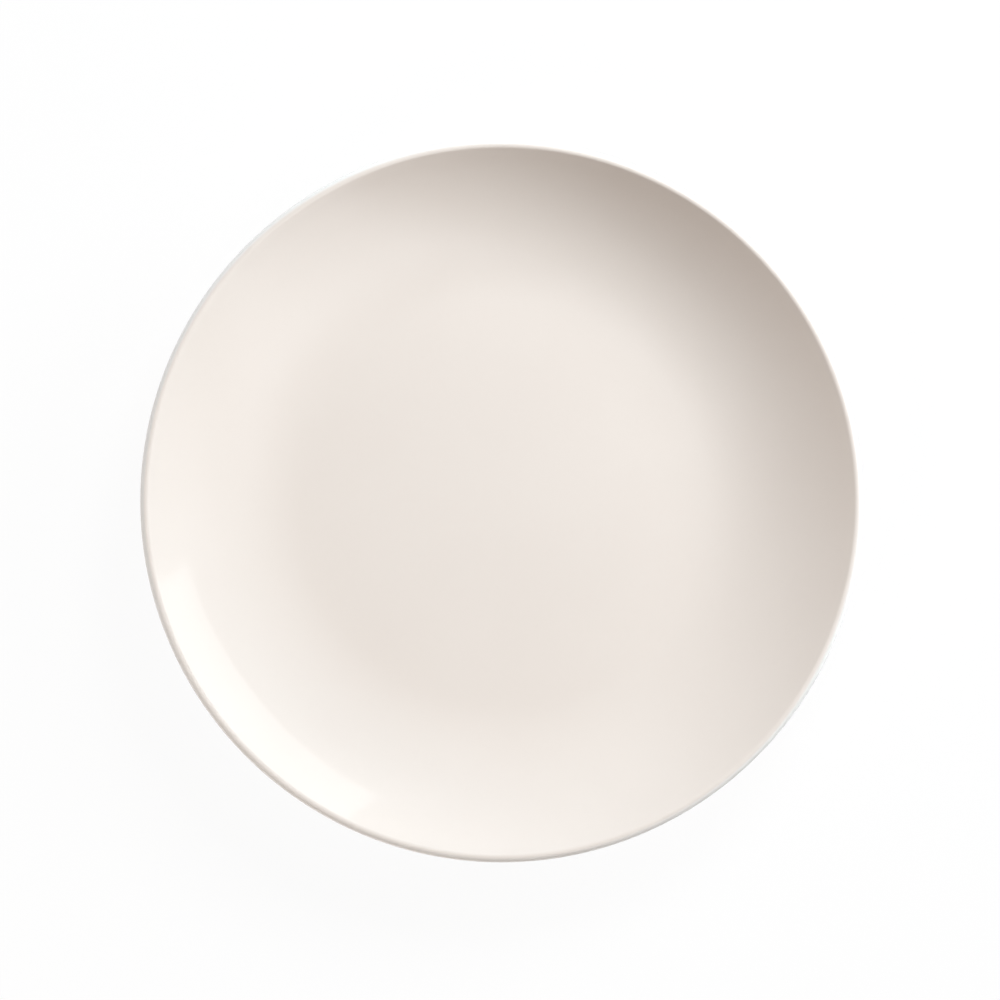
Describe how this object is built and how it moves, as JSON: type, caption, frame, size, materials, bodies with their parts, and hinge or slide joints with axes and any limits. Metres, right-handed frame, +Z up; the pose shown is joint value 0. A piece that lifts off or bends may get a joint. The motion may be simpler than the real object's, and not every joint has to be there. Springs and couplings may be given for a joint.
{
  "type": "coupe plate",
  "caption": "Small round coupe plate: a flat well that curves up into a plain rounded lip, on a low foot ring with a bare tread, for serving bread, dessert or starters.",
  "frame": {"origin": "centre of the plane that the foot ring's tread stands on", "axes": "+Z up along the plate's axis, from the tread towards the lip; +X and +Y to the right and up in the picture, which looks straight down"},
  "size_m": [0.165, 0.165, 0.02],
  "materials": {
    "fired_clay": "bare fired clay, fine and matt, ground smooth on the tread",
    "ivory_glaze": "warm off-white clear-gloss glaze"
  },
  "bodies": {
    "root": {"clay_body": "fired_clay", "foot_ring": "fired_clay", "face_glaze": "ivory_glaze", "back_glaze": "ivory_glaze", "recess_glaze": "ivory_glaze"}
  },
  "joints": []
}
